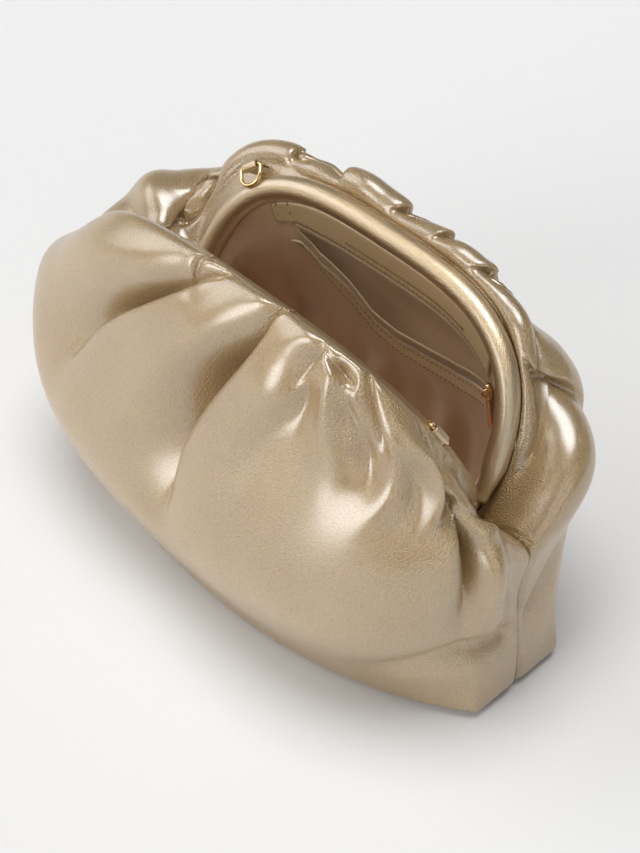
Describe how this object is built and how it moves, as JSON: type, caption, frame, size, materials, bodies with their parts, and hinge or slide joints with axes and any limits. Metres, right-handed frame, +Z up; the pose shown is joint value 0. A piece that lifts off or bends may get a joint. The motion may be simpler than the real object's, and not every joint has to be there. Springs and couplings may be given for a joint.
{
  "type": "clutch bag",
  "caption": "Slouchy gathered clutch bag in soft metallic leather on a hinged tube frame, standing open, with a satin lining and a zipped inner pocket.",
  "frame": {"origin": "middle of the footprint box, on the floor plane under the base", "axes": "+X from the left end to the right end with the visible hinge, +Y from the front panel to the back panel, +Z up"},
  "size_m": [0.319, 0.1746, 0.1984],
  "materials": {
    "gold_leather": "soft grained nappa with a champagne gold metallic coat, satin sheen",
    "satin": "smooth beige satin lining",
    "gold_metal": "polished pale gold plating",
    "zip_tape": "woven beige zip tape",
    "zip_coil": "beige nylon zip coil"
  },
  "bodies": {
    "root": {"front_panel": "gold_leather", "back_panel": "gold_leather", "frame_bar_front": "gold_leather", "frame_bar_back": "gold_leather", "strap_tab_back": "gold_leather", "strap_tab_front": "gold_leather", "pocket_facing": "gold_leather", "pocket_band": "gold_leather", "hinge_right_leaf_front": "gold_metal", "hinge_right_leaf_back": "gold_metal", "hinge_right_pin": "gold_metal", "hinge_left_leaf_front": "gold_metal", "hinge_left_leaf_back": "gold_metal", "hinge_left_pin": "gold_metal", "strap_ring_back": "gold_metal", "strap_ring_front": "gold_metal", "zip_slider": "gold_metal", "zip_puller": "gold_metal", "lining": "satin", "zip_tape": "zip_tape", "zip_coil_upper": "zip_coil", "zip_coil_lower": "zip_coil"}
  },
  "joints": []
}
